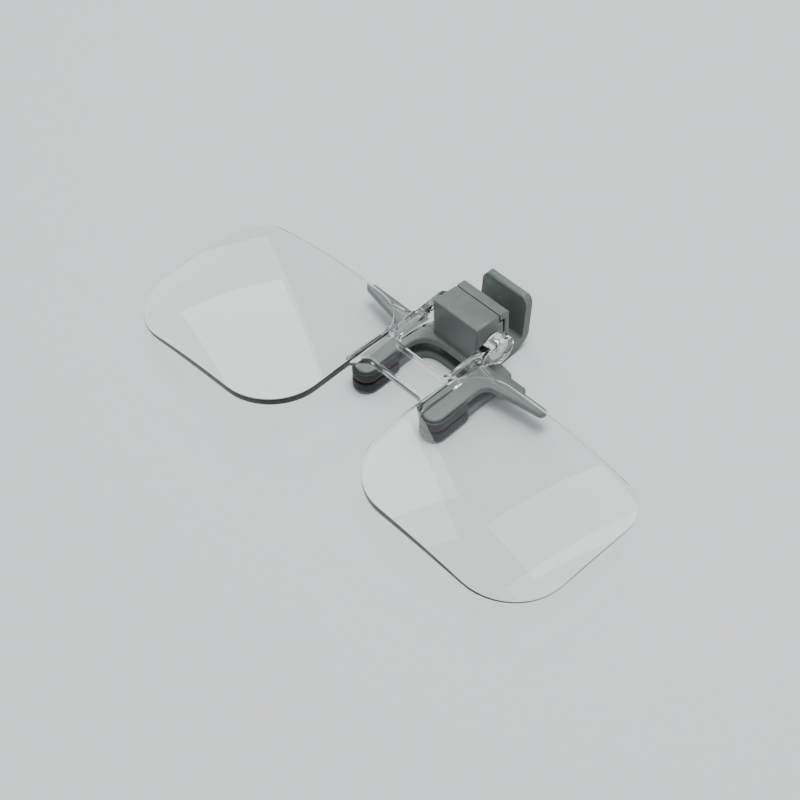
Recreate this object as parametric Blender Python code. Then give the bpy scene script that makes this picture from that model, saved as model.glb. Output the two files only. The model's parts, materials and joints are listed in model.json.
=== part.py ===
"""Clip-on flip lenses: a twin magnifier moulding hinged on a spring clip for spectacles.

The object lies on its back, as on a table: +X runs along the pair of lenses, +Y points to the
thumb tab (up, when it is worn) and +Z is the front of the lenses. Sizes are written in
millimetres from the lens datum: the middle between the two lenses, level with the bridge.
"""
import math

import bmesh
import bpy
from mathutils import Matrix, Vector

MM = 0.001

# Resting place: the lens datum above the table, and back from the middle of the whole object
DATUM_HEIGHT = 12.1
DATUM_BACK = -9.36

# Lenses: two rounded panes whose sides bulge a little, cut from one pair of spheres each
LENS_CENTRE_X = 31.4
LENS_HALF = (22.4, 18.7)
LENS_BULGE = (0.023, 0.020)
CORNER_RADIUS = {"top_outer": 6.6, "top_inner": 8.0, "bottom_inner": 11.6, "bottom_outer": 12.2}
APEX = (22.0, 0.0, 1.1)
APEX_THICKNESS = 2.2
FRONT_RADIUS = 106.0
BACK_RADIUS = 150.0
LENS_RINGS = (1.0, 0.93, 0.78, 0.56, 0.3)
CORNER_STEPS = 9
SIDE_STEPS = 5

# Bridge plate and the two hinge arms, moulded in one with the lenses
BRIDGE_Y = (5.3, 12.5)
BRIDGE_Z = (-3.1, -1.25)
BRIDGE_FLARE = 2.2
ARM_X = (6.6, 9.1)
ARM_ROOT_Y = 11.0
LUG_RADIUS = 3.3
WEB_Z = (-3.1, -1.55)

# Flip hinge
FLIP_AXIS = (26.0, -3.3)
AXLE_RADIUS = 0.8
AXLE_HALF_LENGTH = 7.8
AXLE_FLAT = 0.62
AXLE_FLAT_HALF_LENGTH = 3.4
RUNNING_GAP = 0.05
WASHER_X = (6.1, 6.4)
WASHER_RADIUS = 2.6

# Clip housing, with the front jaw
HOUSING_HALF = 5.9
HOUSING_Y = (21.7, 30.9)
HOUSING_BOTTOM = -8.0
TOP_FRONT = 3.6
TOP_BACK = 2.5
WALL = 1.5
FRONT_WALL_BACK = 23.4
SEAM_Y = 28.2
SIDE_WALL_END = 29.4
JOINT_GAP = 0.3
SEAM_STEP = 2.1
COVER_WALL = 1.2
COVER_TOP_THICKNESS = 1.5
COVER_BOTTOM = -6.6
JAW_THICKNESS = 1.8
FRONT_JAW_Z = -7.7
REAR_JAW_Z = -12.1

# Jaw prongs, shared by the front and the rear jaw
ARCH_HALF = 7.2
ARCH_TOP = 20.8
ARCH_RADIUS = 4.2
PRONG_HALF = 2.2
PRONG_TIP_Y = 4.6
WING_HALF = 24.2
WING_Y = (20.4, 22.9)
WING_FILLET = 2.2
SHOULDER_HALF = 15.0
SHOULDER_Y = (23.4, 26.8)
SHOULDER_RADIUS = 0.8
NECK_HALF = 10.1
NECK_Y = 27.65

# Lever, its pin and its spring
LEVER_AXIS = (27.6, -6.4)
PIN_RADIUS = 0.6
PIN_HALF_LENGTH = 5.7
TAB_TOP = 1.5
TAB_Y = 37.8
TAB_CORNER = 2.2
HEEL = (36.7, -10.3)
HEEL_RADIUS = 2.8
HEEL_START = 30.0
LEVER_LUG_X = (2.6, 4.1)
LEVER_LUG_RADIUS = 1.5
SPRING_WIRE = 0.25
SPRING_COIL = 1.1
SPRING_WHOLE_TURNS = 5
SPRING_LEG_ANGLE = math.radians(30)
SPRING_LEG = 5.6
SPRING_HALF = 1.75
GROOVE_DEPTH = 1.2
GROOVE_Y = (28.4, 32.0)
RIB_THICKNESS = 0.9
RIB_HALF = 2.6
RIB_Z = (-2.4, 2.0)

# Rubber shoes on the prong tips
PAD_THICKNESS = 0.85
PAD_LIP = 0.6
PAD_LIP_HEIGHT = 1.2
PAD_LENGTH = 8.5
PAD_GAP = 0.3

# Leaf of the click stop
LEAF_HALF_WIDTH = 3.2
LEAF_HALF_HEIGHT = 3.2
LEAF_THICKNESS = 0.25
LEAF_BACK = 25.05
LEAF_BOW = 1.0

FINISHES = {
    "clear_acrylic": ((0.86, 0.9, 0.9, 1.0), 0.04, 0.0),
    "grey_plastic": ((0.2, 0.235, 0.22, 1.0), 0.42, 0.0),
    "steel": ((0.62, 0.62, 0.6, 1.0), 0.3, 1.0),
    "black_rubber": ((0.02, 0.02, 0.02, 1.0), 0.7, 0.0),
    "white_nylon": ((0.78, 0.77, 0.72, 1.0), 0.5, 0.0),
}


def clear_scene():
    for item in list(bpy.data.objects):
        bpy.data.objects.remove(item, do_unlink=True)


def finish(name, object_name):
    """A material of the object's own, in one of the finishes."""
    colour, roughness, metallic = FINISHES[name]
    material = bpy.data.materials.new(f"{object_name}_{name}")
    material.use_nodes = True
    shader = material.node_tree.nodes["Principled BSDF"]
    shader.inputs["Base Color"].default_value = colour
    shader.inputs["Roughness"].default_value = roughness
    shader.inputs["Metallic"].default_value = metallic
    material.diffuse_color = colour
    return material


def empty(name, y, z, parent=None):
    marker = bpy.data.objects.new(name, None)
    marker.empty_display_size = 3 * MM
    marker.location = (0, y * MM, z * MM)
    marker.parent = parent
    bpy.context.collection.objects.link(marker)
    return marker


def object_from(name, mesh_data, axis_empty, finish_name):
    """Link a mesh drawn from the lens datum to the empty that it moves with."""
    mesh = bpy.data.meshes.new(name)
    mesh_data.normal_update()
    mesh_data.to_mesh(mesh)
    mesh_data.free()
    mesh.transform(Matrix.Scale(MM, 4))
    if axis_empty.parent:
        mesh.transform(Matrix.Translation(-axis_empty.location))
    item = bpy.data.objects.new(name, mesh)
    item.parent = axis_empty
    bpy.context.collection.objects.link(item)
    if finish_name:
        mesh.materials.append(finish(finish_name, name))
    else:
        item.hide_render = True
        item.display_type = "WIRE"
    return item


def rounded(corners, steps=5):
    """The outline through corners (a, b, radius), each radius drawn as an arc."""
    outline = []
    for index, (a, b, radius) in enumerate(corners):
        corner = Vector((a, b))
        if not radius:
            outline.append(corner)
            continue
        before = (Vector(corners[index - 1][:2]) - corner).normalized()
        after = (Vector(corners[(index + 1) % len(corners)][:2]) - corner).normalized()
        half = before.angle(after) / 2
        centre = corner + (before + after).normalized() * radius / math.sin(half)
        first = corner + before * radius / math.tan(half) - centre
        last = corner + after * radius / math.tan(half) - centre
        start = math.atan2(first.y, first.x)
        sweep = (math.atan2(last.y, last.x) - start + math.pi) % math.tau - math.pi
        for step in range(steps + 1):
            angle = start + sweep * step / steps
            outline.append(centre + radius * Vector((math.cos(angle), math.sin(angle))))
    return outline


def circle(centre, radius, steps=24):
    return [Vector((centre[0] + radius * math.cos(math.tau * step / steps),
                    centre[1] + radius * math.sin(math.tau * step / steps)))
            for step in range(steps)]


def prism(outline, low, high, axis):
    """A solid with this outline in the other two directions, extruded along X, Y or Z."""
    data = bmesh.new()
    place = {"X": lambda a, b: (low, a, b), "Y": lambda a, b: (a, low, b), "Z": lambda a, b: (a, b, low)}
    face = data.faces.new([data.verts.new(place[axis](a, b)) for a, b in outline])
    raised = bmesh.ops.extrude_face_region(data, geom=[face])["geom"]
    travel = Vector([high - low if name == axis else 0 for name in "XYZ"])
    bmesh.ops.translate(data, vec=travel, verts=[v for v in raised if isinstance(v, bmesh.types.BMVert)])
    bmesh.ops.recalc_face_normals(data, faces=data.faces)
    return data


def bevel(item, width, segments=2):
    modifier = item.modifiers.new("edges", "BEVEL")
    modifier.width = width * MM
    modifier.segments = segments
    modifier.limit_method = "ANGLE"
    modifier.angle_limit = math.radians(50)


def combine(item, other, operation):
    modifier = item.modifiers.new(operation.lower(), "BOOLEAN")
    modifier.object = other
    modifier.operation = operation
    modifier.solver = "EXACT"


def mirror(item):
    modifier = item.modifiers.new("pair", "MIRROR")
    modifier.use_mirror_merge = False


def bore(item, name, centre, radius, half_length, axis_empty):
    """Cut a round hole right through, along X."""
    hole = prism(circle(centre, radius), -half_length, half_length, "X")
    cutter = object_from(name, hole, axis_empty, None)
    combine(item, cutter, "DIFFERENCE")


# ---------------------------------------------------------------- lenses

def lens_outline():
    """The outline of the right lens: a rounded rectangle whose four sides bulge."""
    half_x, half_y = LENS_HALF
    corners = [(half_x, half_y, CORNER_RADIUS["top_outer"]),
               (-half_x, half_y, CORNER_RADIUS["top_inner"]),
               (-half_x, -half_y, CORNER_RADIUS["bottom_inner"]),
               (half_x, -half_y, CORNER_RADIUS["bottom_outer"])]
    points = rounded(corners, CORNER_STEPS)
    outline = []
    for index, point in enumerate(points):
        following = points[(index + 1) % len(points)]
        straight = (following - point).length > half_y / 2
        steps = SIDE_STEPS if straight else 1
        outline += [point.lerp(following, step / steps) for step in range(steps)]
    bulged = []
    for x, y in outline:
        across = 1 + LENS_BULGE[0] * (1 - (y / half_y) ** 2)
        along = 1 + LENS_BULGE[1] * (1 - (x / half_x) ** 2)
        bulged.append(Vector((LENS_CENTRE_X + x * across, y * along)))
    return bulged


def sphere_drop(x, y, radius):
    distance = (x - APEX[0]) ** 2 + (y - APEX[1]) ** 2
    return radius - math.sqrt(radius ** 2 - distance)


def lens_blank():
    """One lens: a front and a back of rings shrinking to the centre, and the edge between them."""
    data = bmesh.new()
    outline = lens_outline()
    middle = Vector((LENS_CENTRE_X, 0))
    faces_rings = []
    for radius, base in ((FRONT_RADIUS, APEX[2]), (BACK_RADIUS, APEX[2] - APEX_THICKNESS)):
        rings = []
        for scale in LENS_RINGS:
            ring = [middle + (point - middle) * scale for point in outline]
            rings.append([data.verts.new((x, y, base - sphere_drop(x, y, radius))) for x, y in ring])
        centre = data.verts.new((middle.x, 0, base - sphere_drop(middle.x, 0, radius)))
        faces_rings.append((rings, centre))
    count = len(outline)
    for rings, centre in faces_rings:
        for outer, inner in zip(rings, rings[1:]):
            for index in range(count):
                following = (index + 1) % count
                data.faces.new((outer[index], outer[following], inner[following], inner[index]))
        for index in range(count):
            data.faces.new((rings[-1][index], rings[-1][(index + 1) % count], centre))
    front, back = faces_rings[0][0][0], faces_rings[1][0][0]
    for index in range(count):
        following = (index + 1) % count
        data.faces.new((front[index], back[index], back[following], front[following]))
    bmesh.ops.recalc_face_normals(data, faces=data.faces)
    return data


def bridge_outline():
    """The plate between the lenses, flared below where it runs into their inner sides."""
    low, high = BRIDGE_Y
    flare = BRIDGE_FLARE
    inner = LENS_CENTRE_X - LENS_HALF[0] * (1 + LENS_BULGE[0])
    half = inner + 1.6
    beside_arm = ARM_X[0] + 0.1
    right = [(inner - 0.1, low, flare), (inner - 0.1, low - flare - 0.1, 0), (half, low - flare - 1.2, 0),
             (half, high + 1.3, 0), (beside_arm, high + 1.3, 0), (beside_arm, high, 1.0)]
    left = [(-a, b, radius) for a, b, radius in reversed(right)]
    return rounded(right + left, 6)


def arm_outline():
    """Side view of a hinge arm, from inside the bridge to the round lug on the flip axis."""
    axis_y, axis_z = FLIP_AXIS
    lug = [(axis_y + LUG_RADIUS * math.cos(angle), axis_z + LUG_RADIUS * math.sin(angle), 0)
           for angle in (math.radians(90 - 15 * step) for step in range(15))]
    foot_low, foot_high = BRIDGE_Z[0] + 0.4, BRIDGE_Z[1] - 0.3
    underside = [(23.0, -5.1, 1.2), (19.4, -3.75, 4.0), (ARM_ROOT_Y, foot_low, 0),
                 (ARM_ROOT_Y, foot_high, 0), (ARM_ROOT_Y + 3.5, foot_high + 0.75, 5.0)]
    return rounded(lug + underside, 4)


def web_outline():
    """The web that fills the corner between an arm and the top of its lens."""
    outer = ARM_X[1]
    return rounded([(outer - 1.2, 11.5, 0), (14.0, 13.0, 0), (15.6, 18.7, 0), (12.5, 19.2, 0),
                    (outer, 19.3, 2.0), (outer, 22.0, 0), (outer - 1.2, 22.0, 0)], 6)


def build_twin_lens(flip):
    item = object_from("twin_lens", prism(bridge_outline(), *BRIDGE_Z, "Z"), flip, "clear_acrylic")
    blanks = object_from("lens_blanks", lens_blank(), flip, None)
    webs = object_from("corner_webs", prism(web_outline(), *WEB_Z, "Z"), flip, None)
    arms = object_from("hinge_arms", prism(arm_outline(), *ARM_X, "X"), flip, None)
    bevel(arms, 0.35)
    for piece in (blanks, webs, arms):
        mirror(piece)
        combine(item, piece, "UNION")
    bore(item, "lug_sockets", FLIP_AXIS, AXLE_RADIUS + RUNNING_GAP, AXLE_HALF_LENGTH + RUNNING_GAP, flip)


def build_flip_axle(flip):
    """The steel axle, squared in the middle for the click stop."""
    item = object_from("flip_axle", prism(circle(FLIP_AXIS, AXLE_RADIUS), -AXLE_HALF_LENGTH,
                                          AXLE_HALF_LENGTH, "X"), flip, "steel")
    y, z = FLIP_AXIS
    for index, (side_y, side_z) in enumerate(((1, 0), (-1, 0), (0, 1), (0, -1))):
        centre_y = y + side_y * (AXLE_FLAT + 1)
        centre_z = z + side_z * (AXLE_FLAT + 1)
        square = [(centre_y - 1, centre_z - 1), (centre_y + 1, centre_z - 1),
                  (centre_y + 1, centre_z + 1), (centre_y - 1, centre_z + 1)]
        cutter = object_from(f"axle_flat_{index}", prism(square, -AXLE_FLAT_HALF_LENGTH,
                                                         AXLE_FLAT_HALF_LENGTH, "X"), flip, None)
        combine(item, cutter, "DIFFERENCE")


def build_washers(rest):
    for side, name in ((-1, "friction_washer_left"), (1, "friction_washer_right")):
        low, high = sorted(side * edge for edge in WASHER_X)
        item = object_from(name, prism(circle(FLIP_AXIS, WASHER_RADIUS, 32), low, high, "X"),
                           rest, "white_nylon")
        bore(item, f"{name}_hole", FLIP_AXIS, AXLE_RADIUS + 2 * RUNNING_GAP, HOUSING_HALF + 2, rest)


# ---------------------------------------------------------------- clip housing

def housing_top(y):
    """Height of the housing's top, which falls towards the thumb tab."""
    front, back = HOUSING_Y
    return TOP_FRONT + (TOP_BACK - TOP_FRONT) * (y - front) / (back - front)


def front_jaw_outline():
    """Two wings and two prongs around the nose arch."""
    tip_outer = ARCH_HALF + 2 * PRONG_HALF
    wing_low, wing_high = WING_Y
    right = [(ARCH_HALF, ARCH_TOP, ARCH_RADIUS), (ARCH_HALF, PRONG_TIP_Y, PRONG_HALF - 0.05),
             (tip_outer, PRONG_TIP_Y, PRONG_HALF - 0.05), (tip_outer, wing_low - WING_FILLET, WING_FILLET),
             (WING_HALF, wing_low, WING_FILLET / 2), (WING_HALF, wing_high, WING_FILLET / 2)]
    left = [(-a, b, radius) for a, b, radius in reversed(right)]
    return rounded(right + left)


def build_clip_body(rest):
    front, back = HOUSING_Y
    step = housing_top(SIDE_WALL_END) - SEAM_STEP
    profile = [(front, HOUSING_BOTTOM), (SIDE_WALL_END, HOUSING_BOTTOM), (SIDE_WALL_END, step),
               (SEAM_Y, step), (SEAM_Y, housing_top(SEAM_Y)), (front, TOP_FRONT)]
    item = object_from("clip_body", prism(profile, -HOUSING_HALF, HOUSING_HALF, "X"),
                       rest, "grey_plastic")
    bevel(item, 0.3)
    jaw = object_from("front_jaw", prism(front_jaw_outline(), FRONT_JAW_Z,
                                         FRONT_JAW_Z + JAW_THICKNESS, "Z"), rest, None)
    bevel(jaw, 0.3)
    combine(item, jaw, "UNION")
    inside = HOUSING_HALF - WALL
    past = 2.0
    roof = WALL + 0.4
    hollow = [(FRONT_WALL_BACK, HOUSING_BOTTOM - past), (back + past, HOUSING_BOTTOM - past),
              (back + past, housing_top(SEAM_Y) - roof), (FRONT_WALL_BACK, TOP_FRONT - roof)]
    cavity = object_from("housing_hollow", prism(hollow, -inside, inside, "X"), rest, None)
    combine(item, cavity, "DIFFERENCE")
    rib_back = LEVER_AXIS[0] + SPRING_COIL - SPRING_WIRE - JOINT_GAP
    rib_low, rib_high = RIB_Z
    side_view = [(rib_back - RIB_THICKNESS, rib_low), (rib_back, rib_low), (rib_back, rib_high),
                 (rib_back - RIB_THICKNESS, rib_high)]
    rib = object_from("spring_rib", prism(side_view, -RIB_HALF, RIB_HALF, "X"), rest, None)
    combine(item, rib, "UNION")
    bore(item, "flip_bore", FLIP_AXIS, AXLE_RADIUS + RUNNING_GAP, HOUSING_HALF + 2, rest)
    bore(item, "pin_bore", LEVER_AXIS, PIN_RADIUS + RUNNING_GAP, HOUSING_HALF + 2, rest)


def build_housing_cover(rest):
    """The cap that closes the top and back of the housing."""
    back = HOUSING_Y[1]
    seam = SEAM_Y + JOINT_GAP
    inner_y = back - COVER_WALL
    inner_z = housing_top(back) - COVER_TOP_THICKNESS
    profile = rounded([(seam, housing_top(seam), 0), (seam, inner_z + 0.1, 0), (inner_y, inner_z, 0.6),
                       (inner_y, COVER_BOTTOM, 0), (back, COVER_BOTTOM, 0.4), (back, TOP_BACK, 0.6)], 4)
    item = object_from("housing_cover", prism(profile, -HOUSING_HALF, HOUSING_HALF, "X"),
                       rest, "grey_plastic")
    bevel(item, 0.3)


def build_detent_spring(rest):
    """A bowed leaf behind the front wall, which bears on the flats of the axle."""
    outer, inner = [], []
    for step in range(13):
        across = step / 6 - 1
        y = LEAF_BACK - LEAF_BOW * across ** 2
        z = FLIP_AXIS[1] + LEAF_HALF_HEIGHT * across
        outer.append((y, z))
        inner.append((y - LEAF_THICKNESS, z))
    outline = outer + list(reversed(inner))
    object_from("detent_spring", prism(outline, -LEAF_HALF_WIDTH, LEAF_HALF_WIDTH, "X"), rest, "steel")


# ---------------------------------------------------------------- lever

def rear_jaw_outline():
    """The lever's flat: a stepped neck from the heel, shoulders, and two prongs around the arch."""
    tip_outer = ARCH_HALF + 2 * PRONG_HALF
    neck_end = HEEL_START - 0.2
    low, high = SHOULDER_Y
    small = SHOULDER_RADIUS / 2
    right = [(ARCH_HALF, ARCH_TOP, ARCH_RADIUS), (ARCH_HALF, PRONG_TIP_Y, PRONG_HALF - 0.05),
             (tip_outer, PRONG_TIP_Y, PRONG_HALF - 0.05), (tip_outer, low - WING_FILLET, WING_FILLET),
             (SHOULDER_HALF, low, SHOULDER_RADIUS), (SHOULDER_HALF, high, SHOULDER_RADIUS),
             (NECK_HALF, high, small), (NECK_HALF, NECK_Y, small),
             (HOUSING_HALF, NECK_Y + 0.6, SHOULDER_RADIUS), (HOUSING_HALF, neck_end, 0)]
    left = [(-a, b, radius) for a, b, radius in reversed(right)]
    return rounded(right + left)


def tab_outline():
    """Side view of the thumb tab and its heel, bent up from the lever's flat."""
    heel_y, heel_z = HEEL
    low, high = REAR_JAW_Z, REAR_JAW_Z + JAW_THICKNESS
    overlap = 2.0
    lip = 0.5
    return rounded([(TAB_Y, TAB_TOP, lip), (TAB_Y - JAW_THICKNESS, TAB_TOP, lip),
                    (heel_y - JAW_THICKNESS, heel_z + 0.8 * JAW_THICKNESS, HEEL_RADIUS - JAW_THICKNESS),
                    (HEEL_START - 0.2, high, 0), (HEEL_START - overlap, high, 0),
                    (HEEL_START - overlap, low, 0), (HEEL_START, low, 0), (heel_y, heel_z, HEEL_RADIUS)], 6)


def tab_front_outline():
    """Front view of the thumb tab, with its two top corners rounded."""
    half, foot = HOUSING_HALF, REAR_JAW_Z - 1
    return rounded([(-half, foot, 0), (half, foot, 0),
                    (half, TAB_TOP, TAB_CORNER), (-half, TAB_TOP, TAB_CORNER)], 6)


def build_lever(lever_axis):
    item = object_from("lever", prism(rear_jaw_outline(), REAR_JAW_Z, REAR_JAW_Z + JAW_THICKNESS, "Z"),
                       lever_axis, "grey_plastic")
    bevel(item, 0.3)
    past = 1.0
    tab = object_from("thumb_tab", prism(tab_outline(), -HOUSING_HALF - past, HOUSING_HALF + past, "X"),
                      lever_axis, None)
    face = object_from("thumb_tab_face", prism(tab_front_outline(), HEEL_START - 3, TAB_Y + past, "Y"),
                       lever_axis, None)
    combine(tab, face, "INTERSECT")
    bevel(tab, 0.3)
    combine(item, tab, "UNION")
    y, z = LEVER_AXIS
    lug = [Vector((y + LEVER_LUG_RADIUS * math.cos(angle), z + LEVER_LUG_RADIUS * math.sin(angle)))
           for angle in (math.radians(15 * step) for step in range(13))]
    foot = REAR_JAW_Z + JAW_THICKNESS / 2
    lug += [Vector((y - LEVER_LUG_RADIUS, foot)), Vector((y + LEVER_LUG_RADIUS, foot))]
    lugs = object_from("lever_lugs", prism(lug, *LEVER_LUG_X, "X"), lever_axis, None)
    mirror(lugs)
    combine(item, lugs, "UNION")
    floor = REAR_JAW_Z + JAW_THICKNESS
    groove_start, groove_end = GROOVE_Y
    section = [(groove_start, floor - GROOVE_DEPTH), (groove_end, floor - GROOVE_DEPTH),
               (groove_end, floor + 1), (groove_start, floor + 1)]
    groove = object_from("spring_groove", prism(section, SPRING_HALF - 0.7, SPRING_HALF + 0.5, "X"),
                         lever_axis, None)
    combine(item, groove, "DIFFERENCE")
    bore(item, "lever_bore", LEVER_AXIS, PIN_RADIUS + RUNNING_GAP, HOUSING_HALF, lever_axis)


def build_lever_pin(rest):
    object_from("lever_pin", prism(circle(LEVER_AXIS, PIN_RADIUS), -PIN_HALF_LENGTH, PIN_HALF_LENGTH, "X"),
                rest, "steel")


def spring_path():
    """The centre line of the torsion spring: a leg behind the rib, the coil, a leg on the lever."""
    y, z = LEVER_AXIS
    sweep = math.tau * SPRING_WHOLE_TURNS - SPRING_LEG_ANGLE
    steps = 16 * SPRING_WHOLE_TURNS
    coil = []
    for step in range(steps + 1):
        angle = -sweep * step / steps
        x = -SPRING_HALF + 2 * SPRING_HALF * step / steps
        coil.append(Vector((x, y + SPRING_COIL * math.cos(angle), z + SPRING_COIL * math.sin(angle))))
    top_leg = [coil[0] + Vector((0, 0, SPRING_LEG * share)) for share in (1.0, 0.7, 0.4, 0.15)]
    down = Vector((0, math.sin(SPRING_LEG_ANGLE), -math.cos(SPRING_LEG_ANGLE)))
    floor = REAR_JAW_Z + JAW_THICKNESS + SPRING_WIRE + 0.05
    reach = (coil[-1].z - floor) / math.cos(SPRING_LEG_ANGLE)
    low_leg = [coil[-1] + down * reach * share for share in (0.25, 0.6, 1.0)]
    return top_leg + coil + low_leg


def build_lever_spring(rest):
    curve = bpy.data.curves.new("lever_spring", "CURVE")
    curve.dimensions = "3D"
    curve.bevel_depth = SPRING_WIRE * MM
    curve.bevel_resolution = 2
    curve.use_fill_caps = True
    spline = curve.splines.new("POLY")
    points = spring_path()
    spline.points.add(len(points) - 1)
    for knot, point in zip(spline.points, points):
        knot.co = (*(point * MM), 1)
    curve.materials.append(finish("steel", "lever_spring"))
    item = bpy.data.objects.new("lever_spring", curve)
    item.parent = rest
    bpy.context.collection.objects.link(item)


# ---------------------------------------------------------------- rubber shoes

def shoe_outline(side, grow):
    """The outline of a prong's tip, grown outwards, with its open end up the prong."""
    inner = ARCH_HALF - grow
    outer = ARCH_HALF + 2 * PRONG_HALF + grow
    tip = PRONG_TIP_Y - grow
    radius = PRONG_HALF + grow - 0.05
    end = PRONG_TIP_Y + PAD_LENGTH
    corners = [(inner, end, 0), (inner, tip, radius), (outer, tip, radius), (outer, end, 0)]
    return rounded([(side * a, b, r) for a, b, r in corners], 6)


def build_pad(name, side, jaw_low, jaw_high, facing, axis_empty):
    """A shoe: a sole on the jaw's gripping face and a lip round the prong's edge."""
    if facing < 0:
        sole = jaw_low - PAD_GAP - PAD_THICKNESS
        lip = jaw_low - PAD_GAP + PAD_LIP_HEIGHT
        pocket = (jaw_low - PAD_GAP, jaw_high + 2)
    else:
        sole = jaw_high + PAD_GAP + PAD_THICKNESS
        lip = jaw_high + PAD_GAP - PAD_LIP_HEIGHT
        pocket = (jaw_low - 2, jaw_high + PAD_GAP)
    outer = shoe_outline(side, PAD_GAP + PAD_LIP)
    item = object_from(name, prism(outer, min(sole, lip), max(sole, lip), "Z"), axis_empty, "black_rubber")
    bevel(item, 0.2)
    hole = shoe_outline(side, PAD_GAP)
    top = max(point.y for point in hole)
    hole = [Vector((point.x, point.y + 2)) if point.y > top - 0.001 else point for point in hole]
    cutter = object_from(f"{name}_pocket", prism(hole, *pocket, "Z"), axis_empty, None)
    combine(item, cutter, "DIFFERENCE")


def build_pads(rest, lever_axis):
    for side, word in ((-1, "left"), (1, "right")):
        build_pad(f"front_pad_{word}", side, FRONT_JAW_Z, FRONT_JAW_Z + JAW_THICKNESS, -1, rest)
        build_pad(f"rear_pad_{word}", side, REAR_JAW_Z, REAR_JAW_Z + JAW_THICKNESS, 1, lever_axis)


def main():
    clear_scene()
    rest = empty("rest_frame", DATUM_BACK, DATUM_HEIGHT)
    flip = empty("flip_hinge_axis", *FLIP_AXIS, rest)
    lever_axis = empty("lever_hinge_axis", *LEVER_AXIS, rest)
    build_twin_lens(flip)
    build_flip_axle(flip)
    build_washers(rest)
    build_clip_body(rest)
    build_housing_cover(rest)
    build_detent_spring(rest)
    build_lever(lever_axis)
    build_lever_pin(rest)
    build_lever_spring(rest)
    build_pads(rest, lever_axis)
    bpy.context.view_layer.update()


main()
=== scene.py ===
"""The looks of the clip-on flip lenses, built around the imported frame.

Every piece is modelled in millimetres from the lens datum: the middle between the two lenses, level
with the bridge, +X along the pair, +Y to the thumb tab and +Z out of the front of the lenses. Each
finished piece is then settled into the frame, in metres.
"""

import json
import logging
import math
from dataclasses import dataclass
from enum import Enum
from typing import Callable, Optional, Sequence, Union

import bmesh
import bpy
from mathutils import Matrix, Vector

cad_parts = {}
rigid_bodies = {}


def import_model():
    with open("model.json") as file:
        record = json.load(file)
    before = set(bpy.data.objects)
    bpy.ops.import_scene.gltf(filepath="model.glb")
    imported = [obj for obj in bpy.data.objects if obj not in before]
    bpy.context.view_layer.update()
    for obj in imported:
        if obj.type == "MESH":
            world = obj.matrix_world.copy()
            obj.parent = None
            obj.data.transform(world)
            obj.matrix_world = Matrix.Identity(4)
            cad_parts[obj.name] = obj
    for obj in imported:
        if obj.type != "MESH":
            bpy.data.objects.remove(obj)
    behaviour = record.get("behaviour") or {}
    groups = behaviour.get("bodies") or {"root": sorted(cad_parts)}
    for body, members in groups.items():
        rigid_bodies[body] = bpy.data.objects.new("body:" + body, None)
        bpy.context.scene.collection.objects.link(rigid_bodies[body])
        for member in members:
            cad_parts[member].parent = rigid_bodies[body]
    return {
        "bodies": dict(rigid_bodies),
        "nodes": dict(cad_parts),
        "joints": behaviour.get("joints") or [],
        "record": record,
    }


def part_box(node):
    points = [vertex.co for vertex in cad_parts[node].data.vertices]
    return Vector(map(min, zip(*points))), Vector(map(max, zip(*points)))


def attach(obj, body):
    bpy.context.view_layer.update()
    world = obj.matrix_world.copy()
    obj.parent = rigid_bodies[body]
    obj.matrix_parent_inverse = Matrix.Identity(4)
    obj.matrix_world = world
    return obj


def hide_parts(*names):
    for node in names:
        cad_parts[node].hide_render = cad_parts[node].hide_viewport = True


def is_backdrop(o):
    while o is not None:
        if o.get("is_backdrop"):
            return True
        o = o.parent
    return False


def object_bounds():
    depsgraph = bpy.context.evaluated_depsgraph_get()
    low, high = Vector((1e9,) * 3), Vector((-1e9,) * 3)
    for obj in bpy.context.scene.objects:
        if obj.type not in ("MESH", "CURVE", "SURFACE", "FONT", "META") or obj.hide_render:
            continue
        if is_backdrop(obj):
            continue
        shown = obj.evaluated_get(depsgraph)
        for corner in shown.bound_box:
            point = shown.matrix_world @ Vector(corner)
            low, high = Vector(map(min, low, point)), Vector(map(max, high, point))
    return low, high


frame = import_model()

LOG = logging.getLogger("clip_on_lenses")
MM = 0.001
AXLE_BORE = 0.85
PIN_BORE = 0.65
Corner = tuple[float, float, float]
Point = tuple[float, float]
Number = Union[int, float]
Colour = tuple[float, float, float, float]
Socket = bpy.types.NodeSocket
Piece = bpy.types.Object


# ------------------------------ shader maths

class Value:
    """A shader socket that Python's arithmetic signs work on, each adding its Math node."""

    def __init__(self, graph: "Graph", socket: Socket) -> None:
        """Wrap one output socket of a graph."""
        self.graph = graph
        self.socket = socket

    def _math(self, operation: str, first: "Operand", second: "Operand") -> "Value":
        """Add a Math node and return its result."""
        made = self.graph.node("ShaderNodeMath", {"operation": operation}, {0: first, 1: second})
        return Value(self.graph, made.outputs[0])

    def __add__(self, other: "Operand") -> "Value":
        """Sum."""
        return self._math("ADD", self, other)

    def __radd__(self, other: "Operand") -> "Value":
        """Sum, with a plain number first."""
        return self._math("ADD", other, self)

    def __sub__(self, other: "Operand") -> "Value":
        """Difference."""
        return self._math("SUBTRACT", self, other)

    def __rsub__(self, other: "Operand") -> "Value":
        """Difference, with a plain number first."""
        return self._math("SUBTRACT", other, self)

    def __mul__(self, other: "Operand") -> "Value":
        """Product."""
        return self._math("MULTIPLY", self, other)

    def __rmul__(self, other: "Operand") -> "Value":
        """Product, with a plain number first."""
        return self._math("MULTIPLY", other, self)

    def between(self, low: float, high: float) -> "Value":
        """This value spread from 0 at low to 1 at high, and held there.

        Args:
            low: the value that becomes 0.
            high: the value that becomes 1.

        Returns:
            The spread value.
        """
        made = self.graph.node("ShaderNodeMapRange", {"clamp": True},
                               {"Value": self, "From Min": low, "From Max": high})
        return Value(self.graph, made.outputs["Result"])


Operand = Union[Value, Number]


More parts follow.
